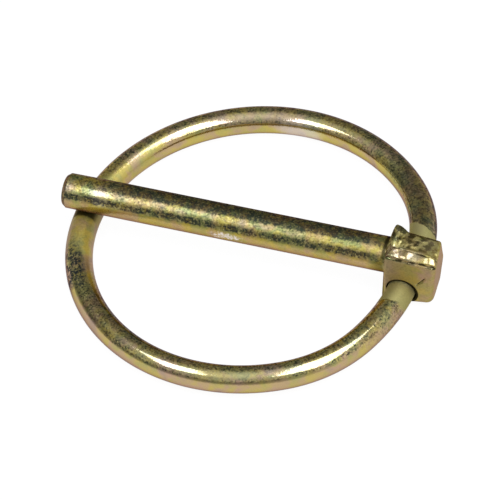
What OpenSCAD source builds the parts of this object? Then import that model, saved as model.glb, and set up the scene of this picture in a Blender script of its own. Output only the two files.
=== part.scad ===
/* [Shank] */
// Diameter of the round shank
shank_d = 6; // [5.8:0.05:6.2]
// Length of the shank, from the head's face to its tip
shank_len = 56; // [55:0.5:58]
// Length of the slight lead at the tip, where the ring lies under the shank
lead_len = 6.8; // [6:0.1:8]
// How much thinner the lead is at its end than the shank
lead_drop = 0.06; // [0.02:0.01:0.2]
// Length of the chamfer on the tip
tip_chamfer = 0.6; // [0.3:0.1:1.2]
// How much the chamfer takes off the radius
tip_drop = 0.45; // [0.2:0.05:1]
// Length of the plain round shank's end that flares slightly into the head
root_len = 0.3; // [0.3:0.05:0.6]
// How much that flare adds to the radius
root_rise = 0.12; // [0.05:0.01:0.2]

/* [Head] */
// Thickness of the forged head, along the cross hole
head_w = 6.5; // [6.3:0.1:7]
// Length of the head past its shank-side face, along its upper edge
head_len = 9.2; // [8.8:0.1:9.8]
// Height above the shank's axis from which the head's front upper edge and its bead are set
head_top = 3.6; // [3.4:0.1:3.8]
// Height of the head's rear upper edge at its end, above the shank's axis
head_rear_top = 2.4; // [2.2:0.1:2.6]
// How much higher the rear upper edge is at the shank's side
head_rear_rise = 1.3; // [1:0.1:1.4]
// Radius of the big lower corner at the head's end
head_corner_r = 1.3; // [1:0.1:1.5]
// Radius of the forged edges
edge_r = 0.5; // [0.3:0.1:0.7]
// Radius of the edges of the rolled-over bead along the front upper edge
bead_r = 0.5; // [0.4:0.05:0.55]
// Height of the raised lip at the rear corner, above the shank's axis
lip_top = 4.7; // [4.4:0.1:4.9]

/* [Cross hole] */
// Diameter of the cross hole that holds the ring's ends
hole_d = 5; // [4.8:0.05:5.1]
// Distance of the hole's axis from the head's shank-side face
hole_x = 3.1; // [3:0.05:3.5]
// Distance of the hole's axis below the shank's axis
hole_drop = 4.6; // [4.4:0.05:4.65]
// Angle by which the hole runs askew to the shank, seen from above
hole_skew = 3.5; // [0:0.5:4]

/* [Ring] */
// Diameter of the ring's wire
wire_d = 4.6; // [4.5:0.02:4.64]
// Radius of the ring along the middle of its wire
ring_r = 28.8; // [28.5:0.05:29]
// Distance from the hole's axis to the ring's centre
ring_reach = 26.85; // [26.7:0.05:27.1]
// How far the wire runs straight past each face of the head
straight_out = 0.15; // [0.1:0.05:0.4]
// Radius of the short bend where the near end leaves the hole
near_bend_r = 12; // [10:0.5:14]
// Angle of that bend
near_bend_a = 3; // [2:0.5:4]
// Radius of the flatter stretch after the bend
near_leg_r = 36; // [35:0.5:38]
// Radius that blends the flatter stretch into the round of the ring
near_blend_r = 22.5; // [21:0.5:23]
// Gap between the two wire ends inside the hole
end_gap = 0.8; // [0.6:0.1:2]
// Chamfer on the wire's cut ends
end_chamfer = 0.25; // [0.1:0.05:0.4]
// Gap between the closed ring and the shank that lies on it
closed_gap = 0.1; // [0.06:0.01:0.15]

/* [Hidden] */
$fn = 96;

zinc_yellow = [0.62, 0.56, 0.33];
zinc_dark = [0.52, 0.47, 0.27];
hull_fn = 32;

shank_r = shank_d / 2;
wire_r = wire_d / 2;
half_w = head_w / 2;
shank_root = 3;
joint_len = 0.06;
joint_rise = 0.004;
// Half the length of the straight wire, from the head's middle plane to the first bend
straight_y = half_w + straight_out;
// The closed ring hangs from the hole and just clears the underside of the shank near its tip
ring_tilt = asin((shank_r + wire_r + closed_gap - hole_drop) / (ring_reach + ring_r));
// The pin lies level on its head's lower edge and on the closed ring's lowest point
base_z = -(shank_r + wire_d + closed_gap);

// Corners of the head's block as [x, z, radius], with x from the shank-side face
front_corners = [
    [0.3 + edge_r, head_top - 0.35 - edge_r, edge_r],
    [head_len - edge_r, head_top - 0.35 - edge_r, edge_r],
    [8.2 - head_corner_r, -5.75, head_corner_r],
    [-0.6 + edge_r, base_z + edge_r, edge_r]
];
rear_corners = [
    [0.1 + edge_r, head_rear_top + head_rear_rise - edge_r, edge_r],
    [head_len - 0.9 - edge_r, head_rear_top - edge_r, edge_r],
    [8.5 - edge_r, -1.0, edge_r],
    [8.0 - head_corner_r, -5.6, head_corner_r],
    [-0.5 + edge_r, base_z + edge_r, edge_r]
];

// Way along the hole towards the ring's far end, and way from the hole towards the ring's inside
along_hole = [sin(hole_skew), cos(hole_skew)];
inward = [-cos(hole_skew), sin(hole_skew)];
far_exit = [ring_reach, 0] + straight_y * along_hole;
near_exit = [ring_reach, 0] - straight_y * along_hole;

// Far end of the ring: one arc, tangent to the wire's straight end and to the ring
far_r = (pow(ring_r, 2) - pow(norm(far_exit), 2)) / (2 * (ring_r + far_exit * inward));
far_centre = far_exit + far_r * inward;
far_join = direction(far_centre);

// Near end of the ring: a short bend, a flatter stretch and a blend, each tangent to the next
bend_centre = near_exit + near_bend_r * inward;
bend_end = -hole_skew - near_bend_a;
leg_centre = bend_centre + (near_bend_r - near_leg_r) * [cos(bend_end), sin(bend_end)];
blend_reach = ring_r - near_blend_r;
leg_to_blend = near_leg_r - near_blend_r;
blend_turn = acos((pow(blend_reach, 2) + pow(norm(leg_centre), 2) - pow(leg_to_blend, 2))
    / (2 * blend_reach * norm(leg_centre)));
near_join = direction(leg_centre) + blend_turn - 360;
blend_centre = blend_reach * [cos(near_join), sin(near_join)];
leg_join = direction(blend_centre - leg_centre);

function direction(v) = atan2(v[1], v[0]);

// A stretch of round wire along an arc in the ring's plane
module wire_arc(centre, radius, from, to) {
    translate([centre[0], centre[1], 0])
        rotate([0, 0, from])
            rotate_extrude(angle = to - from)
                translate([radius, 0])
                    circle(d = wire_d);
}

// A hair-thin band where two stretches of wire meet, so that they join into one solid
module wire_joint(centre, radius, at) {
    translate([centre[0], centre[1], 0])
        rotate([0, 0, at])
            translate([radius, 0, 0])
                rotate([90, 0, 0])
                    cylinder(h = joint_len, r = wire_r + joint_rise, center = true);
}

// One straight end of the wire, from its cut face out to the first bend
module wire_end(side) {
    translate([ring_reach, 0, 0])
        rotate([-side * 90, 0, -hole_skew])
            translate([0, 0, end_gap / 2]) {
                cylinder(h = end_chamfer, r1 = wire_r - end_chamfer, r2 = wire_r);
                translate([0, 0, end_chamfer])
                    cylinder(h = straight_y - end_gap / 2 - end_chamfer, r = wire_r);
            }
}

module ball(x, y, z, r) {
    translate([x, y, z])
        sphere(r = r, $fn = hull_fn);
}

// Round bar, turned down slightly at its end and chamfered
module shank() {
    rotate([0, -90, 0]) {
        translate([0, 0, -shank_root])
            cylinder(h = shank_root + shank_len - lead_len, r = shank_r);
        translate([0, 0, -root_len])
            cylinder(h = 2 * root_len, r1 = shank_r + root_rise, r2 = shank_r);
        translate([0, 0, shank_len - lead_len])
            cylinder(h = lead_len - tip_chamfer, r1 = shank_r, r2 = shank_r - lead_drop);
        translate([0, 0, shank_len - tip_chamfer])
            cylinder(h = tip_chamfer, r1 = shank_r - lead_drop, r2 = shank_r - tip_drop);
    }
}

// Forged block with a sloping top, rounded edges and a big lower corner
module head_block() {
    hull() {
        for (c = front_corners)
            ball(c[0], -half_w + c[2], c[1], c[2]);
        for (c = rear_corners)
            ball(c[0], half_w - c[2], c[1], c[2]);
    }
}

// Metal rolled over the front upper edge when the head was forged, sloping to the front and broad at
// the shank's side
module bead() {
    hull() {
        ball(0.45 + bead_r, -half_w + bead_r - 0.1, head_top - 0.4, bead_r);
        ball(head_len - bead_r, -half_w + bead_r - 0.1, head_top - 0.65, bead_r);
        ball(1.6, -1.75, head_top - 0.02, bead_r);
        ball(head_len - 0.7, -2.1, head_top - 0.2, bead_r);
    }
}

// Raised rim that climbs from the bead to the lip at the rear corner
module lip() {
    hull() {
        ball(1.3, -1.4, head_top - 0.5, 0.7);
        ball(0.95, half_w - edge_r, lip_top - edge_r, edge_r);
        ball(1.3, half_w - edge_r, lip_top - 0.1 - edge_r, edge_r);
        ball(0.65, half_w - edge_r, 3.2, edge_r);
        ball(2.5, half_w - edge_r, 2.9, edge_r);
    }
}

// Narrow hollow under the bead, with round ends
module hollow(x_from, x_to, z_from, z_to) {
    hull() {
        ball(x_from, -half_w - 0.12, z_from, 0.32);
        ball(x_to, -half_w - 0.12, z_to, 0.32);
    }
}

module pin() {
    color(zinc_yellow)
        difference() {
            union() {
                shank();
                head_block();
                bead();
                lip();
            }
            hollow(1.0, 2.4, head_top - 0.42, head_top - 0.5);
            hollow(4.7, head_len - 0.8, head_top - 0.9, head_top - 1.1);
            translate([hole_x, 0, -hole_drop])
                rotate([90, 0, -hole_skew])
                    cylinder(h = 2 * head_w, d = hole_d, center = true);
        }
}

module ring() {
    color(zinc_dark)
        translate([hole_x, 0, -hole_drop])
            rotate([0, -ring_tilt, 0])
                translate([-ring_reach, 0, 0]) {
                    wire_end(1);
                    wire_end(-1);
                    wire_arc(far_centre, far_r, -hole_skew, far_join);
                    wire_arc([0, 0], ring_r, far_join, 360 + near_join);
                    wire_arc(blend_centre, near_blend_r, near_join, leg_join);
                    wire_arc(leg_centre, near_leg_r, leg_join, bend_end);
                    wire_arc(bend_centre, near_bend_r, bend_end, -hole_skew);
                    wire_joint(far_centre, far_r, -hole_skew);
                    wire_joint(far_centre, far_r, far_join);
                    wire_joint(blend_centre, near_blend_r, near_join);
                    wire_joint(blend_centre, near_blend_r, leg_join);
                    wire_joint(bend_centre, near_bend_r, bend_end);
                    wire_joint(bend_centre, near_bend_r, -hole_skew);
                }
}

pin();
ring();
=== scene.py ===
import math

import bmesh
import bpy
import numpy as np
from mathutils import Matrix, Vector, noise


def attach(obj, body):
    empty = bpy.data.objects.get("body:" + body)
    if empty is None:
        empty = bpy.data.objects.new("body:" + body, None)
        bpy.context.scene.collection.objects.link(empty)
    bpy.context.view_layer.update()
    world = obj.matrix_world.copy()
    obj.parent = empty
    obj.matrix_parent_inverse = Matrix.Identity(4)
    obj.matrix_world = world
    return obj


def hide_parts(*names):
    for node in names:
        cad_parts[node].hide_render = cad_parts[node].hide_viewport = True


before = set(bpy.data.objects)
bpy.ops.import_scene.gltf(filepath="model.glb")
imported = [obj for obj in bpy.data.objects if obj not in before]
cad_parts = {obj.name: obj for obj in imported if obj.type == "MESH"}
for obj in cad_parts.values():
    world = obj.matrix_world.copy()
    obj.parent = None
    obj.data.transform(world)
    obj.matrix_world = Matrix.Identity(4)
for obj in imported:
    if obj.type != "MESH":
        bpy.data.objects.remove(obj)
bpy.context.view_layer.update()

MM = 0.001

# Sizes shared with the solids, in millimetres and degrees
SHANK_R = 3.0
SHANK_LEN = 56.0
LEAD_LEN = 6.8
LEAD_DROP = 0.06
TIP_CHAMFER = 0.6
TIP_DROP = 0.45
HALF_W = 3.25
HOLE_X = 3.1
HOLE_DROP = 4.6
HOLE_SKEW = 3.5
# How far the hole shifts along the head for each millimetre across it
HOLE_SLOPE = 0.061
WIRE_R = 2.3
RING_R = 28.8
RING_REACH = 26.85
STRAIGHT_Y = HALF_W + 0.15
END_GAP = 0.8
END_CHAMFER = 0.25
CLOSED_GAP = 0.1
NEAR_BEND_R = 12.0
NEAR_BEND_A = 3.0
NEAR_LEG_R = 36.0
NEAR_BLEND_R = 22.5
# How far below the shank's axis the closed ring's wire lies under the tip, and the ring's tilt
RING_DROP = SHANK_R + WIRE_R + CLOSED_GAP
RING_TILT = math.degrees(math.asin((RING_DROP - HOLE_DROP) / (RING_REACH + RING_R)))
FLOOR_Z = -(RING_DROP + WIRE_R)

WIRE_SIDES = 96
WIRE_STEP = 0.3
SHANK_SIDES = 160
SHANK_SECTIONS = 190
LEAD_SECTIONS = 22
HEAD_CELL, QUICK_CELL = 0.1, 0.2
SMOOTHINGS = 3
# The head's rough skin is cut off along the shank, and its smoothed skin a little nearer
ROUGH_CUT_X = -1.2
SKIN_CUT_X = -0.68


# ---------------------------------------------------------------- camera

def point_camera():
    """Long lens on the pin from above and in front, rolled a little. Its angles are in degrees and
    its places in millimetres."""
    azimuth, height, roll = (math.radians(a) for a in (22.2012, 48.1128, -5.4581))
    target = Vector((-24.75, 0.0, -4.65))
    aside, below, away = -0.5421, -0.9056, 990.7674
    back = Vector((math.sin(azimuth) * math.cos(height), -math.cos(azimuth) * math.cos(height),
                   math.sin(height)))
    right = Vector((math.cos(azimuth), math.sin(azimuth), 0))
    down = (-back).cross(right)
    right, down = (math.cos(roll) * right - math.sin(roll) * down,
                   math.sin(roll) * right + math.cos(roll) * down)
    place = target - aside * right - below * down + away * back
    data = bpy.data.cameras.new("camera")
    data.sensor_width = 36
    data.lens = 432
    data.clip_start = 0.05
    data.clip_end = 10
    camera = bpy.data.objects.new("camera", data)
    turn = Matrix((right, -down, back)).transposed().to_4x4()
    camera.matrix_world = Matrix.Translation(place * MM) @ turn
    bpy.context.collection.objects.link(camera)
    bpy.context.scene.camera = camera


# ---------------------------------------------------------------- ring

def new_object(name, mesh):
    """A smooth-shaded object, put into the scene."""
    mesh.polygons.foreach_set("use_smooth", [True] * len(mesh.polygons))
    made = bpy.data.objects.new(name, mesh)
    bpy.context.collection.objects.link(made)
    return made


def toward_angle(turn):
    """The way at this angle in the ring's plane."""
    return np.array([math.cos(turn), math.sin(turn)])


def heading(v):
    """The angle of a way in the ring's plane, in degrees."""
    return math.degrees(math.atan2(v[1], v[0]))


def within_half_turn(angle):
    """The same angle in degrees, between -180 and 180."""
    return (angle + 180) % 360 - 180


def arc_points(centre, radius, start, end):
    """Places along an arc, without its end, with the way that the wire runs at each."""
    count = max(2, int(abs(math.radians(end - start)) * radius / WIRE_STEP))
    turns = np.radians(np.linspace(start, end, count, endpoint=False))
    return [(centre[0] + radius * math.cos(t), centre[1] + radius * math.sin(t), t + math.pi / 2)
            for t in turns]


def wire_route():
    """The wire's middle line in the ring's plane, from the far end's cut face round to the near
    one: places in millimetres with the way the wire runs there."""
    # Ways along the hole to the far side, and from the hole to the ring's inside
    skew = math.radians(HOLE_SKEW)
    along = np.array([math.sin(skew), math.cos(skew)])
    inward = np.array([-math.cos(skew), math.sin(skew)])
    hole = np.array([RING_REACH, 0.0])
    far_exit = hole + STRAIGHT_Y * along
    near_exit = hole - STRAIGHT_Y * along

    # Far side: one arc, tangent to the straight end and to the ring
    far_r = (RING_R ** 2 - far_exit @ far_exit) / (2 * (RING_R + far_exit @ inward))
    far_centre = far_exit + far_r * inward
    far_join = heading(far_centre)

    # Near side: a short bend, a flatter stretch and a blend into the ring
    bend_centre = near_exit + NEAR_BEND_R * inward
    bend_end = -HOLE_SKEW - NEAR_BEND_A
    leg_centre = bend_centre + (NEAR_BEND_R - NEAR_LEG_R) * toward_angle(math.radians(bend_end))
    blend_reach = RING_R - NEAR_BLEND_R
    leg_reach = NEAR_LEG_R - NEAR_BLEND_R
    leg_far = math.hypot(*leg_centre)
    blend_turn = math.acos((blend_reach ** 2 + leg_far ** 2 - leg_reach ** 2)
                           / (2 * blend_reach * leg_far))
    near_join = heading(leg_centre) + math.degrees(blend_turn)
    blend_centre = blend_reach * toward_angle(math.radians(near_join))
    leg_join = within_half_turn(heading(blend_centre - leg_centre))
    near_join = within_half_turn(near_join)

    # Each straight end has its cut face, its chamfer and two more sections inside the head
    run = math.radians(90 - HOLE_SKEW)
    end_places = (END_GAP / 2, END_GAP / 2 + END_CHAMFER, 1.5, 2.4)
    route = [(*(hole + reach * along), run) for reach in end_places]
    route += arc_points(far_centre, far_r, -HOLE_SKEW, far_join)
    route += arc_points((0, 0), RING_R, far_join, 360 + near_join)
    route += arc_points(blend_centre, NEAR_BLEND_R, near_join, leg_join)
    route += arc_points(leg_centre, NEAR_LEG_R, leg_join, bend_end)
    route += arc_points(bend_centre, NEAR_BEND_R, bend_end, -HOLE_SKEW)
    route += [(*(hole - reach * along), run) for reach in (STRAIGHT_Y, *reversed(end_places))]
    return route


def make_ring():
    """Round wire swept along its route, chamfered at both cut ends."""
    route = wire_route()
    around = np.radians(np.arange(WIRE_SIDES) * 360 / WIRE_SIDES)[:, None]
    up = np.array([0, 0, 1])
    sections = []
    for k, (x, y, run) in enumerate(route):
        radius = WIRE_R - (END_CHAMFER if k in (0, len(route) - 1) else 0)
        out = np.array([math.sin(run), -math.cos(run), 0])
        sections.append(np.array([x, y, 0]) + radius * (np.cos(around) * out + np.sin(around) * up))
    points = np.vstack(sections)
    points[:, 0] -= RING_REACH
    x, y, z = points.T
    tilt = math.radians(RING_TILT)
    points = np.c_[x * math.cos(tilt) - z * math.sin(tilt), y,
                   x * math.sin(tilt) + z * math.cos(tilt)]
    points += (HOLE_X, 0, -HOLE_DROP)

    faces = []
    for k in range(len(route) - 1):
        a, b = k * WIRE_SIDES, (k + 1) * WIRE_SIDES
        for i in range(WIRE_SIDES):
            j = (i + 1) % WIRE_SIDES
            faces.append((a + i, a + j, b + j, b + i))
    last = (len(route) - 1) * WIRE_SIDES
    faces.append(tuple(range(WIRE_SIDES))[::-1])
    faces.append(tuple(last + i for i in range(WIRE_SIDES)))

    mesh = bpy.data.meshes.new("ring_wire")
    mesh.from_pydata((points * MM).tolist(), [], faces)
    mesh.update()
    mesh.validate()
    piece = new_object("ring_wire", mesh)
    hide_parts("ring")
    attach(piece, "ring")
    return piece


# ---------------------------------------------------------------- pin

def grain(points, size, seed):
    """Smooth noise of about -1 to 1 at each point, with lumps of about the given size."""
    shift = Vector((seed * 7.3, seed * -3.1, seed * 5.7))
    return np.array([noise.noise(Vector(p) / size + shift) for p in points])


def step(value, low, high):
    """Smooth step from 0 to 1 while the value goes from low to high."""
    t = np.clip((value - low) / (high - low), 0, 1)
    return t * t * (3 - 2 * t)


def mark(points, across, route, width, wander=0.0):
    """1 on a line through the route's places and 0 away from it, seen along the axis that is left
    out of across."""
    flat = points[:, across] + wander * np.c_[grain(points, 0.7, 11), grain(points, 0.7, 12)]
    near = np.full(len(points), 9.0)
    for a, b in zip(route, route[1:]):
        a, b = np.array(a, float), np.array(b, float)
        share = np.clip((flat - a) @ (b - a) / ((b - a) @ (b - a)), 0, 1)
        near = np.minimum(near, np.linalg.norm(flat - a - share[:, None] * (b - a), axis=1))
    return np.exp(-(near / width) ** 2)


def cut_off(bm, at, dist):
    """Cut the skin square across the shank and drop what lies beyond; the new rim's edges."""
    cut = bmesh.ops.bisect_plane(bm, geom=bm.verts[:] + bm.edges[:] + bm.faces[:], dist=dist,
                                 plane_co=(at, 0, 0), plane_no=(-1, 0, 0), clear_outer=True)
    return [e for e in cut["geom_cut"] if isinstance(e, bmesh.types.BMEdge)]


def head_skin():
    """Fine skin of the forged head in millimetres, with a short stub of the shank left open."""
    bm = bmesh.new()
    bm.from_mesh(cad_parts["pin"].data)
    bmesh.ops.remove_doubles(bm, verts=bm.verts, dist=0.5e-6)
    bmesh.ops.holes_fill(bm, edges=cut_off(bm, ROUGH_CUT_X * MM, 1e-9))
    bmesh.ops.scale(bm, vec=(1 / MM,) * 3, verts=bm.verts)
    mesh = bpy.data.meshes.new("head_rough")
    bm.to_mesh(mesh)
    bm.free()
    rough = bpy.data.objects.new("head_rough", mesh)
    bpy.context.collection.objects.link(rough)
    cells = rough.modifiers.new("cells", "REMESH")
    cells.mode = "VOXEL"
    cells.voxel_size = HEAD_CELL
    worked = rough.evaluated_get(bpy.context.evaluated_depsgraph_get())
    skin = bpy.data.meshes.new_from_object(worked)
    bpy.data.objects.remove(rough)
    bm = bmesh.new()
    bm.from_mesh(skin)
    bpy.data.meshes.remove(skin)
    for _ in range(SMOOTHINGS):
        bmesh.ops.smooth_vert(bm, verts=bm.verts, factor=0.5, use_axis_x=True, use_axis_y=True,
                              use_axis_z=True)
    cut_off(bm, SKIN_CUT_X, 1e-5)
    return bm


def forge(bm):
    """Forging marks sunk into the head: lumps over the top and the bead, the step behind the bead,
    the crease under it, a crest beside the lip, and a struck mark on the front."""
    bm.normal_update()
    points = np.array([v.co for v in bm.verts])
    normals = np.array([v.normal for v in bm.verts])
    x, y, z = points.T
    from_hole = np.hypot(x - HOLE_X - HOLE_SLOPE * y, z + HOLE_DROP)
    clear = step(from_hole, 2.65, 3.2) * step(x, -0.2, 0.6)
    up = step(z, 2.1, 3.0)
    bead = up * step(-y, 1.3, 1.9)
    drawn = points * (0.6, 1.0, 1.0)
    lumps = 0.75 * grain(drawn, 1.2, 1) + 0.25 * grain(drawn, 0.6, 2)
    bead_lumps = 0.8 * grain(points * (0.85, 1, 1), 1.9, 4) + 0.2 * grain(points, 0.7, 2)
    lumps += bead * (bead_lumps - lumps)
    waves = 1 + np.sin(2.2 * x + 3.4 * grain(points, 3.0, 7))
    sink = (0.02 + 0.20 * up - 0.04 * bead) * np.clip(0.5 + 0.9 * lumps, 0, 1) * clear
    sink += 0.1 * bead * waves * clear

    front = step(-normals[:, 1], 0.5, 0.8) * clear
    from_above, from_front = (0, 1), (0, 2)
    struck = [(5.7, -2.3), (6.5, -1.45), (7.1, -0.5)]
    struck_burr = [(5.5, -2.2), (6.3, -1.3), (6.9, -0.4)]
    crease = [(0.4, 2.9), (4.5, 2.75), (9.1, 2.6)]
    behind_bead = [(2.7, -1.15), (3.2, -1.25), (6.8, -1.6), (8.3, -1.6)]
    lip_crest = [(1.57, 2.6), (1.83, 0.48)]
    sink += 0.2 * front * mark(points, from_front, struck, 0.16)
    sink -= 0.03 * front * mark(points, from_front, struck_burr, 0.15)
    sink += 0.12 * front * mark(points, from_front, crease, 0.2, 0.12)
    sink += 0.16 * up * mark(points, from_above, behind_bead, 0.2, 0.12)
    sink -= 0.05 * up * mark(points, from_above, lip_crest, 0.2)
    for v, normal, depth in zip(bm.verts, normals, sink):
        v.co -= Vector(normal * depth)


def round_root(bm):
    """Bring the head's stub of shank onto the true round, with its slight flare."""
    for v in bm.verts:
        x, y, z = v.co
        out = math.hypot(y, z)
        root = SHANK_R + max(0.0, 0.2 * (x + 0.3))
        if x < 0.2 and abs(out - root) < 0.16:
            v.co.y *= root / out
            v.co.z *= root / out


def shank_profile():
    """The turned shank as (x, radius), from the head's stub to the middle of the tip's face."""
    lead_start = SHANK_LEN - LEAD_LEN
    chamfer_start = SHANK_LEN - TIP_CHAMFER
    lead = SHANK_R - LEAD_DROP
    end = SHANK_R - TIP_DROP
    profile = [(-0.85, SHANK_R)]
    profile += [(-x, SHANK_R) for x in np.linspace(1.2, lead_start, SHANK_SECTIONS)]
    profile += [(-x, SHANK_R - LEAD_DROP * (x - lead_start) / (LEAD_LEN - TIP_CHAMFER))
                for x in np.linspace(lead_start + 0.3, chamfer_start - 0.12, LEAD_SECTIONS)]
    profile += [(-chamfer_start - 0.04, lead - 0.005), (-chamfer_start - 0.02, lead - 0.03)]
    profile += [(-SHANK_LEN + 0.06, end + 0.03), (-SHANK_LEN + 0.01, end - 0.02),
                (-SHANK_LEN, end - 0.08)]
    profile += [(-SHANK_LEN, r) for r in (1.8, 1.0, 0.4)]
    return profile


def shank_skin():
    """Points of the turned shank, with the bruise low on its front and a trace of unevenness."""
    turns = [math.radians(k * 360 / SHANK_SIDES) for k in range(SHANK_SIDES)]
    skin = np.array([(x, r * math.cos(t), r * math.sin(t))
                     for x, r in shank_profile() for t in turns])
    bruise = mark(skin, (0, 2), [(-29.2, -0.35), (-25.4, 0.1)], 0.75) * (skin[:, 1] < 0)
    depth = 0.07 * bruise * np.clip(0.5 + 1.2 * grain(skin, 0.55, 5), 0, 1)
    depth += (0.008 * np.clip(0.5 + 0.8 * grain(skin, 1.6, 6), 0, 1)
              * step(-skin[:, 0], 1.0, 3.0))
    skin[:, 1:] *= (1 - depth / np.linalg.norm(skin[:, 1:], axis=1))[:, None]
    return skin


def make_pin():
    """The pin in one skin: forged head, and the shank turned round its axis and joined on."""
    bm = head_skin()
    forge(bm)
    round_root(bm)
    rim = [e for e in bm.edges if e.is_boundary]
    skin = shank_skin()
    rings = [[bm.verts.new(p) for p in skin[k:k + SHANK_SIDES]]
             for k in range(0, len(skin), SHANK_SIDES)]
    for a, b in zip(rings, rings[1:]):
        for i in range(SHANK_SIDES):
            j = (i + 1) % SHANK_SIDES
            bm.faces.new((a[i], b[i], b[j], a[j]))
    bm.faces.new(rings[-1])
    first = [bm.edges.get((rings[0][i], rings[0][(i + 1) % SHANK_SIDES]))
             for i in range(SHANK_SIDES)]
    bmesh.ops.bridge_loops(bm, edges=rim + first)
    bmesh.ops.recalc_face_normals(bm, faces=bm.faces)
    bmesh.ops.scale(bm, vec=(MM,) * 3, verts=bm.verts)
    mesh = bpy.data.meshes.new("pin_forging")
    bm.to_mesh(mesh)
    bm.free()
    piece = new_object("pin_forging", mesh)
    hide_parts("pin")
    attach(piece, "pin")
    return piece


# ---------------------------------------------------------------- shader values

class Worked:
    """Something that a node in a shader's tree works out."""

    def __init__(self, tree, socket):
        self.tree = tree
        self.socket = socket


def feed(socket, value):
    """Give a socket a fixed value, or link a worked-out one to it."""
    if isinstance(value, Worked):
        value.tree.links.new(value.socket, socket)
    elif socket.type == "RGBA":
        socket.default_value = (*value, 1.0)
    else:
        socket.default_value = value


def worked_node(tree, kind, operation, *values):
    """A new node for this operation, fed with the values in order."""
    node = tree.nodes.new(kind)
    node.operation = operation
    for socket, value in zip(node.inputs, values):
        feed(socket, value)
    return node


def maths(tree, operation, *values):
    """The number that comes of this sum of values."""
    return Number(tree, worked_node(tree, "ShaderNodeMath", operation, *values).outputs[0])


class Number(Worked):
    """A worked-out number. Sums with it add the nodes that do them."""

    def __add__(self, other):
        return maths(self.tree, "ADD", self, other)

    def __mul__(self, other):
        return maths(self.tree, "MULTIPLY", self, other)

    __rmul__ = __mul__

    def __sub__(self, other):
        return maths(self.tree, "SUBTRACT", self, other)

    def __rsub__(self, other):
        return maths(self.tree, "SUBTRACT", other, self)

    def __rtruediv__(self, other):
        return maths(self.tree, "DIVIDE", other, self)

    def __abs__(self):
        return maths(self.tree, "ABSOLUTE", self)

    def clamped(self):
        """The same number, held between 0 and 1."""
        self.socket.node.use_clamp = True
        return self

    def ramp(self, low, high, start=0.0, end=1.0):
        """Smooth step from start to end while this number goes from low to high."""
        node = self.tree.nodes.new("ShaderNodeMapRange")
        node.interpolation_type = "SMOOTHSTEP"
        for socket, value in zip(node.inputs, (self, low, high, start, end)):
            feed(socket, value)
        return Number(self.tree, node.outputs[0])

    def band(self, rise, full, fade, gone, peak=1.0):
        """Rises from 0 between rise and full, and falls back to 0 between fade and gone."""
        return self.ramp(rise, full) * self.ramp(fade, gone, peak, 0.0)


class Place(Worked):
    """A worked-out vector: a place in millimetres, or the way that a surface faces."""

    def node(self, operation, *values):
        return worked_node(self.tree, "ShaderNodeVectorMath", operation, self, *values)

    def turned_into(self, operation, *values):
        return Place(self.tree, self.node(operation, *values).outputs["Vector"])

    def measured(self, operation, *values):
        return Number(self.tree, self.node(operation, *values).outputs["Value"])

    def moved(self, by):
        return self.turned_into("ADD", by)

    def from_spot(self, spot):
        return self.turned_into("SUBTRACT", spot)

    def stretched(self, by):
        return self.turned_into("MULTIPLY", by)

    def of_length_one(self):
        return self.turned_into("NORMALIZE")

    def scaled(self, by):
        node = self.node("SCALE")
        feed(node.inputs["Scale"], by)
        return Place(self.tree, node.outputs["Vector"])

    def length(self):
        return self.measured("LENGTH")

    def along(self, way):
        """How far this reaches along a way; for a surface's normal, how much it faces that way."""
        return self.measured("DOT_PRODUCT", way)

    def distance(self, spot, stretch=None):
        """Distance from a spot, with the axes stretched first if asked for."""
        if stretch:
            return self.from_spot(spot).stretched(stretch).length()
        return self.measured("DISTANCE", spot)

    def axes(self):
        node = self.tree.nodes.new("ShaderNodeSeparateXYZ")
        feed(node.inputs[0], self)
        return [Number(self.tree, socket) for socket in node.outputs]

    def noise(self, size, detail=2.0, roughness=0.5, distortion=0.0):
        """Noise with lumps of about the given size in millimetres."""
        node = self.tree.nodes.new("ShaderNodeTexNoise")
        feed(node.inputs["Vector"], self.scaled(1.0 / size))
        feed(node.inputs["Scale"], 1.0)
        feed(node.inputs["Detail"], detail)
        feed(node.inputs["Roughness"], roughness)
        feed(node.inputs["Distortion"], distortion)
        return Number(self.tree, node.outputs["Fac"])


def strongest(first, *others):
    """The highest of these numbers."""
    for other in others:
        first = maths(first.tree, "MAXIMUM", first, other)
    return first


def mixed(share, low, high):
    """Low where the share is 0, high where it is 1."""
    node = share.tree.nodes.new("ShaderNodeMix")
    for k, value in ((0, share), (2, low), (3, high)):
        feed(node.inputs[k], value)
    return Number(share.tree, node.outputs[0])


def painted(under, share, over):
    """One colour laid over another, as thickly as the share says."""
    node = share.tree.nodes.new("ShaderNodeMix")
    node.data_type = "RGBA"
    node.clamp_factor = True
    for k, value in ((0, share), (6, under), (7, over)):
        feed(node.inputs[k], value)
    return Worked(share.tree, node.outputs[2])


# ---------------------------------------------------------------- plating

# Colours of the zinc's film, of what has got onto or worn through it, and of painted shade,
# highlight and reflection
STRAW = (0.50, 0.39, 0.065)
OLIVE_GREEN = (0.28, 0.30, 0.095)
ROSE = (0.46, 0.29, 0.17)
VIOLET = (0.27, 0.20, 0.17)
TAN = (0.45, 0.33, 0.185)
BROWN = (0.105, 0.07, 0.022)
BOTTLE_GREEN = (0.05, 0.06, 0.022)
PIT = (0.03, 0.028, 0.012)
INK = (0.024, 0.034, 0.036)
PALE_STRAW = (0.66, 0.58, 0.22)
WORN = (0.38, 0.35, 0.145)
DIRT_AND_SHADE = (0.03, 0.025, 0.01)
BARE_ZINC_AND_REFLECTION = (0.78, 0.70, 0.62)
EDGE_TINT = (0.32, 0.24, 0.25)
CLEAR_FILM_IOR = 2.4

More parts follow.
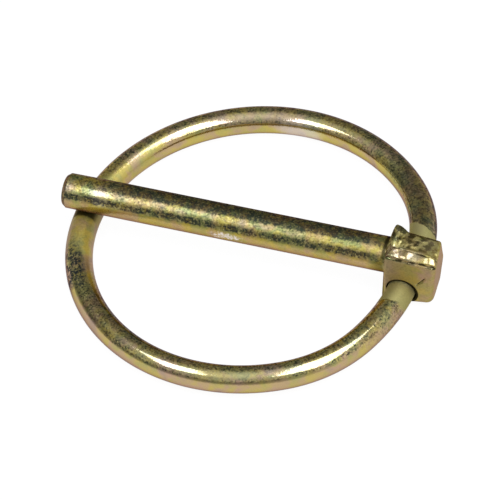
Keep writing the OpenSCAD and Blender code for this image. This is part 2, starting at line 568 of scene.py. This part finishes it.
# The plating's own values, with what each stands at unless a piece says otherwise
PLATING_VALUES = {
    "Patch Size": 6.0, "Mottle Size": 0.5, "Mottle": 0.5, "Rose": 0.3, "Green": 0.4, "Slant": 0.3,
    "Upward": 1.0, "Rubbed": 0.0, "Grime and Shade": 0.0, "Tan": 0.0, "Blush": 0.0, "Pale": 0.0,
    "Bright": 0.0, "Tarnish and Shade": 0.0, "Stain and Shade": 0.0, "Dull": 0.0, "Coat": 0.3, "Peel Size": 0.5}


def plating_group():
    """Yellow zinc plating: patches of green, straw, rose and violet, dark mottling, rubbed places
    where it is paler and duller, and the faint orange peel of the plated steel. It paints a dark
    outline where the surface is seen edge on, and the shade, highlights and reflection that each
    piece's masks ask for."""
    tree = bpy.data.node_groups.new("yellow_zinc_plating", "ShaderNodeTree")
    face = tree.interface
    face.new_socket("Place", in_out="INPUT", socket_type="NodeSocketVector")
    for name, value in PLATING_VALUES.items():
        socket = face.new_socket(name, in_out="INPUT", socket_type="NodeSocketFloat")
        socket.default_value = value
    face.new_socket("Color", in_out="OUTPUT", socket_type="NodeSocketColor")
    face.new_socket("Roughness", in_out="OUTPUT", socket_type="NodeSocketFloat")
    face.new_socket("Coat Weight", in_out="OUTPUT", socket_type="NodeSocketFloat")
    face.new_socket("Peel", in_out="OUTPUT", socket_type="NodeSocketFloat")
    sockets = tree.nodes.new("NodeGroupInput").outputs
    place = Place(tree, sockets["Place"])
    given = {name: Number(tree, sockets[name]) for name in PLATING_VALUES}
    result = tree.nodes.new("NodeGroupOutput").inputs

    elsewhere = place.moved((31.7, 12.9, 47.1))
    beyond = place.moved((-23.1, 57.3, -11.9))
    patches = place.noise(given["Patch Size"], 2.0, 0.55, 0.4)
    other_patches = elsewhere.noise(given["Patch Size"], 2.0, 0.55, 0.4)
    fine = place.noise(given["Mottle Size"], 1.0, 0.6)
    broad = elsewhere.noise(3.0 * given["Mottle Size"], 2.0, 0.6)
    pale = beyond.noise(given["Mottle Size"], 1.5, 0.6)
    above = given["Upward"].ramp(-0.2, 0.7)

    # The film shows green where it is seen straight on, straw on a slant and rose almost edge on
    greener = patches.ramp(0.44, 0.6) * given["Green"]
    greener = (given["Slant"].ramp(0.05, 0.35, 0.3, 0.0) * given["Green"] + greener).clamped()
    colour = painted(STRAW, greener * (0.6 * above + 0.4), OLIVE_GREEN)
    edge = given["Slant"].ramp(0.5, 0.85, 0.0, 0.85)
    rosier = other_patches.ramp(0.43, 0.61) * given["Rose"] + edge
    colour = painted(colour, (rosier + given["Blush"]).clamped(), ROSE)
    colour = painted(colour, other_patches.ramp(0.56, 0.76) * given["Rose"], VIOLET)
    colour = painted(colour, given["Tan"], TAN)

    # Dark mottling: clouds, specks and pits, and a stain that has soaked in, darkened more as
    # painted shade where the tarnish and stain shares carry it
    mottle = given["Mottle"] * (1.0 - 0.85 * given["Rubbed"])
    dark = painted(BROWN, patches.ramp(0.4, 0.6), BOTTLE_GREEN)
    cloud = 0.7 * given["Tarnish and Shade"] + broad.ramp(0.44, 0.62, 0.0, 0.4)
    colour = painted(colour, (cloud * mottle).clamped(), dark)
    speck = fine.ramp(0.4, 0.6) * broad.ramp(0.34, 0.6, 0.35, 1.0)
    speck = (speck * mottle).clamped()
    colour = painted(colour, speck, dark)
    colour = painted(colour, (fine.ramp(0.6, 0.72) * mottle).clamped(), PIT)
    inked = (0.5 * broad + 0.5 * fine).ramp(0.4, 0.56)
    inked = (given["Stain and Shade"] * inked).clamped()
    colour = painted(colour, inked, INK)
    # A painted dark outline where the surface is seen edge on: painted shade
    colour = painted(colour, given["Slant"].ramp(0.86, 0.97, 0.0, 0.45), BROWN)

    # Paler glints between the mottling, paler ridges painted as highlight, rubbed places, dirt and
    # painted shade, and bright bare metal and a painted reflection
    glint = pale.ramp(0.54, 0.66) * mottle * (1.0 - 0.75 * given["Tarnish and Shade"]).clamped()
    glint = strongest((0.7 * glint).clamped(), given["Pale"])
    colour = painted(colour, glint, PALE_STRAW)
    colour = painted(colour, 0.85 * given["Rubbed"], WORN)
    # Dirt, and painted shade in creases, in the seam and under the shank's tip
    colour = painted(colour, given["Grime and Shade"], DIRT_AND_SHADE)
    # Bright bare metal in the bruise, and a painted grey reflection on the ring
    colour = painted(colour, given["Bright"], BARE_ZINC_AND_REFLECTION)
    feed(result["Color"], colour)

    clean = (1.0 - given["Grime and Shade"]).clamped() * (1.0 - given["Rubbed"]).clamped()
    clear_film = (1.0 - 0.55 * strongest(speck, inked)) * clean
    feed(result["Coat Weight"], clear_film * given["Coat"])
    rough = fine.ramp(0.35, 0.65, 0.06, 0.16) + 0.5 * given["Rubbed"] + given["Dull"]
    feed(result["Roughness"], rough + (0.12 - 0.12 * above))
    feed(result["Peel"], place.noise(given["Peel Size"], 2.0, 0.55))
    return tree


def yellow_zinc(name, group, peel_depth, masks, **values):
    """Plated steel in the plating's colours. The peel's depth is in millimetres, and masks is the
    function that puts this piece's own wear, dirt, painted shade and painted highlights into the
    plating."""
    material = bpy.data.materials.new(name)
    material.use_nodes = True
    tree = material.node_tree
    shader = tree.nodes["Principled BSDF"].inputs
    feed(shader["Metallic"], 1.0)
    feed(shader["Specular Tint"], EDGE_TINT)
    feed(shader["Coat IOR"], CLEAR_FILM_IOR)
    feed(shader["Coat Roughness"], 0.1)
    coordinates = tree.nodes.new("ShaderNodeTexCoord").outputs
    place = Place(tree, coordinates["Object"]).scaled(1 / MM)
    normal = Place(tree, coordinates["Normal"])
    film = tree.nodes.new("ShaderNodeGroup")
    film.node_tree = group
    feed(film.inputs["Place"], place)
    feed(film.inputs["Upward"], normal.axes()[2])
    slant = tree.nodes.new("ShaderNodeLayerWeight")
    feed(slant.inputs["Blend"], 0.5)
    feed(film.inputs["Slant"], Number(tree, slant.outputs["Facing"]))
    for socket, value in values.items():
        feed(film.inputs[socket.replace("_", " ")], value)
    for socket, value in masks(place, normal).items():
        feed(film.inputs[socket], value)
    feed(shader["Base Color"], Worked(tree, film.outputs["Color"]))
    feed(shader["Roughness"], Number(tree, film.outputs["Roughness"]))
    feed(shader["Coat Weight"], Number(tree, film.outputs["Coat Weight"]))
    bump = tree.nodes.new("ShaderNodeBump")
    feed(bump.inputs["Distance"], peel_depth * MM)
    feed(bump.inputs["Height"], Number(tree, film.outputs["Peel"]))
    feed(shader["Normal"], Place(tree, bump.outputs["Normal"]))
    feed(shader["Coat Normal"], Place(tree, bump.outputs["Normal"]))
    return material


# ---------------------------------------------------------------- wear, dirt and painted light and shade

# The limits of the ramps and bands below are millimetres where they work on x, y, z or a distance,
# and run from -1 to 1 where they work on the way that a surface faces.

# Spots on the ring, in millimetres: its middle, where it lies under the shank's tip, a dark stain
# on its near side and a painted grey reflection on its far side
RING_MIDDLE = (HOLE_X - RING_REACH, 0.0, -4.8)
UNDER_SHANK = (-52.5, -1.4, -2.9)
STAIN_SPOT = (-51.0, -13.0, -2.6)
GREY_REFLECTION_SPOT = (-23.6, 26.6, -5.0)
# Ways that the ring's highlights face, and that its side darkened by tarnish and painted shade
# faces
CREST_WAY = (0.10, -0.46, 0.88)
DARKEST_WAY = (0.6, 0.75, 0.28)

# Spots on the pin, in millimetres: the polished one near the tip, the bruise low on the front, the
# rosy patch on the head's end, the struck mark and the cross hole
POLISHED_SPOT = (-49.2, -1.9, 2.3)
BRUISE_SPOT = (-27.0, -3.0, -0.1)
ROSY_SPOT = (7.2, -3.3, 0.1)
STRUCK_SPOT = (6.4, 0.0, -1.4)
HOLE_SPOT = (HOLE_X, 0.0, -HOLE_DROP)
# Ways round the shank, square to each other: up and back, and up and to the front
UP_AND_BACK = (0.0, 0.819, 0.574)
UP_AND_FRONT = (0.0, -0.574, 0.819)
# Ways across and along the struck mark
ACROSS_MARK = (0.789, 0.0, -0.614)
ALONG_MARK = (0.614, 0.0, 0.789)


def ring_masks(place, normal):
    """The ring's wear: rubbed wire by the head and under the shank, the stain, a painted grey
    reflection, a painted contact shadow under the shank, a tan and rosy outer side, and mottling
    over the top and the rear, with painted shade on the side facing back and right and less
    mottling along the lit crest, a painted highlight."""
    x, y, z = place.axes()
    up = normal.axes()[2]
    outward = place.from_spot(RING_MIDDLE).stretched((1.0, 1.0, 0.0)).of_length_one()
    side = outward.along(normal)
    ragged = 1.6 * place.noise(0.7) - 0.8
    from_shank = place.distance(UNDER_SHANK)

    far_end = (0.35 * ragged + (0.37 * x + y)).ramp(10.6, 10.8, 1.0, 0.0)
    near_end = (y + ragged).ramp(-7.7, -7.1)
    rubbed = far_end * near_end * x.ramp(-4.0, -3.0)

    # A painted grey reflection on the inner flank of the ring's far side
    grey_reflection = 1.6 * place.noise(1.6) + place.distance(GREY_REFLECTION_SPOT, (0.45, 1.0, 0.8))
    stain = 1.5 * ragged + place.distance(STAIN_SPOT)

    # A painted contact shadow on the wire where it passes under the shank's tip
    contact_shadow = (0.3 * ragged + y).ramp(-2.45, -1.9) * from_shank.ramp(5.0, 6.0, 0.95, 0.0)
    contact_shadow = contact_shadow * y.ramp(-0.9, 0.5, 0.95, 0.0) * z.ramp(-4.6, -3.4)

    # Tarnish with painted shade: darker on the side facing back and right, and on the top of the
    # back by the head
    rear = x.ramp(-9.0, -2.0, 0.0, 0.9) * y.ramp(3.0, 7.0) * up.ramp(0.2, 0.5)
    tarnish_and_shade = strongest(normal.along(DARKEST_WAY).ramp(0.1, 0.75), rear)

    # Less mottling along the lit crest: a painted highlight
    highlight_crest = normal.along(CREST_WAY).ramp(0.9, 0.98)
    golden = side.ramp(-0.55, -0.1, 1.0, 0.0) * x.ramp(-48.0, -43.0, 1.0, 0.0)
    golden = golden * y.ramp(-21.0, -15.0)
    mottled = strongest(tarnish_and_shade, (up + x.ramp(-49.0, -38.0, -0.2, 0.0)).ramp(0.48, 0.64))
    mottled = mottled * (1.0 - 0.65 * highlight_crest) * (1.0 - 0.8 * golden)
    by_shank = (5.0 * side + from_shank).ramp(6.0, 12.0, 0.25, 0.9)

    return {
        "Tan": side.ramp(0.55, 1.0, 0.0, 0.35) * x.ramp(-48.0, -36.0, 1.0, 0.4),
        "Blush": place.noise(4.0).ramp(0.46, 0.6, 0.0, 0.7) * side.ramp(0.6, 0.9),
        "Bright": grey_reflection.ramp(1.6, 3.2, 0.45, 0.0) * side.ramp(-0.4, 0.0, 1.0, 0.0),
        "Stain and Shade": stain.ramp(2.5, 6.5, 1.0, 0.0) * side.ramp(-0.45, 0.0, 0.1, 1.0),
        "Rubbed": strongest(rubbed, from_shank.ramp(5.0, 11.0, 0.25, 0.0)),
        "Grime and Shade": contact_shadow,
        "Tarnish and Shade": tarnish_and_shade,
        "Dull": 0.3 * golden + from_shank.ramp(5.0, 12.0, 0.45, 0.0),
        "Coat": 0.45 * highlight_crest + 0.28,
        "Mottle": mottled * by_shank}


def pin_masks(place, normal):
    """The pin's wear, dirt and painted light and shade, with the shank's own and the head's own
    mixed where the two meet.
    """
    x, y, z = place.axes()
    up = normal.axes()[2]
    head = x.ramp(-0.3, 0.5)
    back = normal.along(UP_AND_BACK)
    front = normal.along(UP_AND_FRONT)

    # The shank is darkest in a band along its top and speckled and darkened in a band along its
    # front, mottling with painted shade over it, and polished near its tip
    shaded_top_band = back.ramp(0.12, 0.34) * front.ramp(-0.1, 0.3) * x.ramp(-53.0, -44.0, 0.35, 1.0)
    shaded_front_band = back.band(-0.64, -0.5, -0.3, -0.14) * front.ramp(0.0, 0.3)
    shaded_bands = strongest(shaded_top_band, shaded_front_band)
    shank_mottle = (0.6 * shaded_bands + 0.5) * back.ramp(-0.66, -0.54, 0.15, 1.0)
    shank_mottle = shank_mottle * x.ramp(-5.5, -2.0, 1.0, 0.6)
    polished = 2.0 * place.noise(0.8) + place.distance(POLISHED_SPOT)
    polished = polished.ramp(1.6, 3.6, 1.0, 0.0)
    shank_dull = (0.3 - 0.2 * polished) * back.ramp(-0.78, -0.6, 0.3, 1.0)
    shank_blush = back.ramp(-0.8, -0.62, 0.4, 0.0) * place.noise(3.0)

    # The head is mottled on top, brighter on its bead through a clearer film and less mottling, a
    # painted highlight, paler on its ridges, also a painted highlight, and tan on its sides
    lip = z.ramp(3.2, 3.7) * y.ramp(-0.6, 0.4)
    bead = z.ramp(2.7, 3.0) * y.ramp(-1.1, -0.8, 1.0, 0.0)
    head_mottle = up.ramp(0.3, 0.6, 0.1, 0.5) * (1.0 - 0.2 * bead) * x.ramp(3.5, 6.0, 1.0, 0.5)
    head_dull = 0.4 * lip + up.ramp(0.4, 0.88, 0.42, 0.15)
    lit_ridges = z.ramp(2.2, 2.6) * y.ramp(-1.2, -0.7)
    lit_ridges = lit_ridges * place.noise(1.0).ramp(0.42, 0.52, 0.85, 0.2)
    rosy = 2.4 * place.noise(1.5) + place.distance(ROSY_SPOT)
    sides = head * up.ramp(0.3, 0.7, 1.0, 0.0)
    bead_coat = 0.26 * (bead * up.ramp(0.45, 0.75, 0.2, 1.0) * head)

    # The plating stayed bright in the bruise
    bruise = 2.4 * place.noise(0.5) + place.distance(BRUISE_SPOT, (0.33, 1.0, 1.0))
    bruise = bruise.ramp(1.6, 2.1, 1.0, 0.0) * place.noise(0.4, 1.0).ramp(0.4, 0.58, 0.35, 1.0)

    return {
        "Coat": strongest(0.7 * polished, bead_coat) + 0.08,
        "Mottle": mixed(head, shank_mottle, head_mottle),
        # The shank's bands are darkened with the tarnish and the ink: painted shade
        "Tarnish and Shade": mixed(head, strongest(shaded_top_band, 0.6 * shaded_front_band), lip),
        "Stain and Shade": shaded_bands * x.ramp(-2.0, 0.0, 0.5, 0.1),
        "Dull": mixed(head, shank_dull, head_dull),
        "Pale": lit_ridges * head,
        "Bright": bruise,
        "Tan": sides * x.ramp(1.0, 5.0, 0.75, 0.3),
        "Blush": mixed(head, shank_blush, rosy.ramp(1.6, 3.0, 0.8, 0.0)),
        "Grime and Shade": strongest(painted_seam_shade(place, back), head_dirt_and_shade(place, normal, head, lip))}


def painted_seam_shade(place, back):
    """Painted shade in the seam where the shank meets the head, and low on the shank beside it."""
    x = place.axes()[0]
    from_axis = place.stretched((0.0, 1.0, 1.0)).length()
    shaded_seam = x.band(-0.7, -0.3, 0.05, 0.35) * from_axis.ramp(3.3, 3.5, 0.9, 0.0)
    shaded_seam = shaded_seam * back.ramp(-0.55, 0.0, 0.3, 1.0)
    below = back.ramp(-0.7, -0.42, 0.6, 0.0) * x.band(-3.2, -0.7, -0.2, 0.2)
    return strongest(shaded_seam, below)


def head_dirt_and_shade(place, normal, head, lip):
    """Dirt and painted shade on the head: a darker patch by the shank, dirt on the lip, painted
    shade in the creases and hollows round the bead and at the hole's rim, a darker rear edge, and
    the struck mark."""
    x, y, z = place.axes()
    rearward = normal.axes()[1]
    darker_by_shank = head * x.ramp(0.6, 3.6, 0.12, 0.0) * rearward.ramp(-0.9, -0.7, 1.0, 0.0)
    lip_dirt = lip * place.noise(0.6).ramp(0.4, 0.56, 0.35, 0.92)

    # Painted shade in the crease under the bead, in the valley behind it, in the hollows and round
    # the hole's rim
    shade_under_bead = (0.04 * x + z).band(2.45, 2.65, 3.0, 3.15)
    shade_under_bead = shade_under_bead * rearward.ramp(-0.8, -0.5, 1.0, 0.0)
    shade_under_bead = shade_under_bead * place.noise(0.9, 1.0).ramp(0.4, 0.55, 0.2, 0.9)
    behind_bead = 0.5 * place.noise(1.0, 1.0) + (0.085 * x + y)
    behind_bead = behind_bead.band(-0.98, -0.84, -0.68, -0.54, 0.8)
    behind_bead = behind_bead * z.ramp(2.4, 2.9) * x.ramp(1.6, 2.6)
    shaded_hollows = z.ramp(2.4, 2.8) * y.ramp(-1.0, -0.5) * x.ramp(4.5, 7.0, 0.8, 0.35)
    shaded_hollows = shaded_hollows * place.noise(1.0).ramp(0.5, 0.6)
    shaded_hole_rim = place.distance(HOLE_SPOT, (1.0, 0.0, 1.0)).ramp(2.72, 2.84, 1.0, 0.0)
    rear_edge = y.ramp(2.3, 2.9) * z.ramp(1.6, 2.2)
    rear_edge = rear_edge * place.noise(1.2, 1.0).ramp(0.42, 0.58, 0.1, 0.85)

    from_mark = place.from_spot(STRUCK_SPOT)
    struck = abs(from_mark.along(ACROSS_MARK)).ramp(0.07, 0.17, 0.8, 0.0)
    struck = struck * abs(from_mark.along(ALONG_MARK)).ramp(0.8, 1.1, 1.0, 0.0)
    struck = struck * y.ramp(-2.6, -2.3, 1.0, 0.0)

    shade_and_marks = strongest(shade_under_bead, shaded_hole_rim, rear_edge, shaded_hollows, behind_bead, struck)
    return strongest(darker_by_shank, lip_dirt, shade_and_marks * head)


# ---------------------------------------------------------------- studio

LAMP_TINT = (0.92, 0.97, 1.25)
# Where the lamps point, in millimetres
LAMP_AIM = (-24, 0, -4)


def toward(azimuth, height):
    """The way to what stands at this azimuth and height, in degrees."""
    a, h = math.radians(azimuth), math.radians(height)
    return Vector((math.cos(a) * math.cos(h), math.sin(a) * math.cos(h), math.sin(h)))


def softbox(name, azimuth, height, wide, tall, radiance, turn, far):
    """Flat, slightly blue lamp that faces the pin; wide and tall are in degrees as the pin sees
    them, and far is in metres."""
    data = bpy.data.lights.new(name, "AREA")
    data.shape = "RECTANGLE"
    data.size = 2 * far * math.tan(math.radians(wide / 2))
    data.size_y = 2 * far * math.tan(math.radians(tall / 2))
    data.energy = radiance * math.pi * data.size * data.size_y
    data.color = LAMP_TINT
    lamp = bpy.data.objects.new(name, data)
    way = toward(azimuth, height)
    centre = Vector(LAMP_AIM) * MM
    face = way.to_track_quat("Z", "Y").to_matrix().to_4x4()
    lamp.matrix_world = (Matrix.Translation(centre + way * far) @ face
                         @ Matrix.Rotation(math.radians(turn), 4, "Z"))
    bpy.context.collection.objects.link(lamp)


def white_floor():
    """Pale table top that keeps the pin's shadow and shows white to the eye and in the metal."""
    mesh = bpy.data.meshes.new("floor")
    half, z = 3.0, FLOOR_Z * MM
    mesh.from_pydata([(-half, -half, z), (half, -half, z), (half, half, z), (-half, half, z)], [],
                     [(0, 1, 2, 3)])
    floor = bpy.data.objects.new("floor", mesh)
    bpy.context.collection.objects.link(floor)
    material = bpy.data.materials.new("white_table")
    material.use_nodes = True
    tree = material.node_tree
    shader = tree.nodes["Principled BSDF"].inputs
    feed(shader["Base Color"], (0.07, 0.07, 0.07))
    feed(shader["Roughness"], 0.9)
    feed(shader["Specular IOR Level"], 0.0)
    feed(shader["Emission Color"], (1, 1, 1))
    path = tree.nodes.new("ShaderNodeLightPath").outputs
    camera, glossy, through = (Number(tree, path[name]) for name in (
        "Is Camera Ray", "Is Glossy Ray", "Is Transmission Ray"))
    feed(shader["Emission Strength"], 0.95 * (camera + glossy + through).clamped())
    mesh.materials.append(material)


def studio_room():
    """Grey room: light above, dimmer low down and behind, and white where the camera looks past
    the table."""
    world = bpy.data.worlds.new("studio")
    bpy.context.scene.world = world
    world.use_nodes = True
    tree = world.node_tree
    tree.nodes.clear()
    way = Place(tree, tree.nodes.new("ShaderNodeTexCoord").outputs["Generated"])
    height = way.axes()[2]

    def spread(azimuth, tilt, inner, outer):
        """1 within the inner angle of a way, 0 outside the outer one."""
        return way.along(toward(azimuth, tilt)).ramp(math.cos(math.radians(outer)),
                                                     math.cos(math.radians(inner)))

    level = height.ramp(0.7, 1.0, 0.7, 1.15)
    level = level * (1.0 - 0.4 * spread(130, 34, 20, 66))
    level = level * (1.0 - 0.22 * spread(105, 30, 12, 42))
    level = level * (1.0 - 0.35 * spread(-178, 26, 6, 22))
    low = height.band(0.05, 0.16, 0.36, 0.58) * spread(-120, 12, 45, 75)
    level = level * (1.0 - 0.45 * low)
    level = 0.4 * spread(10, 25, 10, 50) + level

    room = tree.nodes.new("ShaderNodeBackground")
    feed(room.inputs["Color"], (1, 1, 1))
    feed(room.inputs["Strength"], level)
    white = tree.nodes.new("ShaderNodeBackground")
    feed(white.inputs["Color"], (1, 1, 1))
    path = tree.nodes.new("ShaderNodeLightPath")
    mix = tree.nodes.new("ShaderNodeMixShader")
    out = tree.nodes.new("ShaderNodeOutputWorld")
    for given, socket in ((path.outputs["Is Camera Ray"], mix.inputs[0]),
                          (room.outputs[0], mix.inputs[1]), (white.outputs[0], mix.inputs[2]),
                          (mix.outputs[0], out.inputs["Surface"])):
        tree.links.new(given, socket)


point_camera()
ring = make_ring()
pin = make_pin()
plating = plating_group()
pin.data.materials.append(yellow_zinc("pin_plating", plating, 0.015, pin_masks, Patch_Size=3.0,
                                      Mottle_Size=0.37, Peel_Size=0.45, Rose=0.5, Green=1.0))
ring.data.materials.append(yellow_zinc("ring_plating", plating, 0.012, ring_masks, Patch_Size=3.5,
                                       Mottle_Size=0.37, Peel_Size=0.45, Rose=0.7, Green=0.6))
white_floor()
studio_room()
softbox("left_softbox", -136.7, 58.5, 31.0, 17.5, 4.05, turn=-37.0, far=0.185)
softbox("right_softbox", -17.5, 64.2, 29.0, 50.0, 4.4, turn=-50.9, far=0.33)
bpy.context.scene.view_settings.view_transform = "Standard"
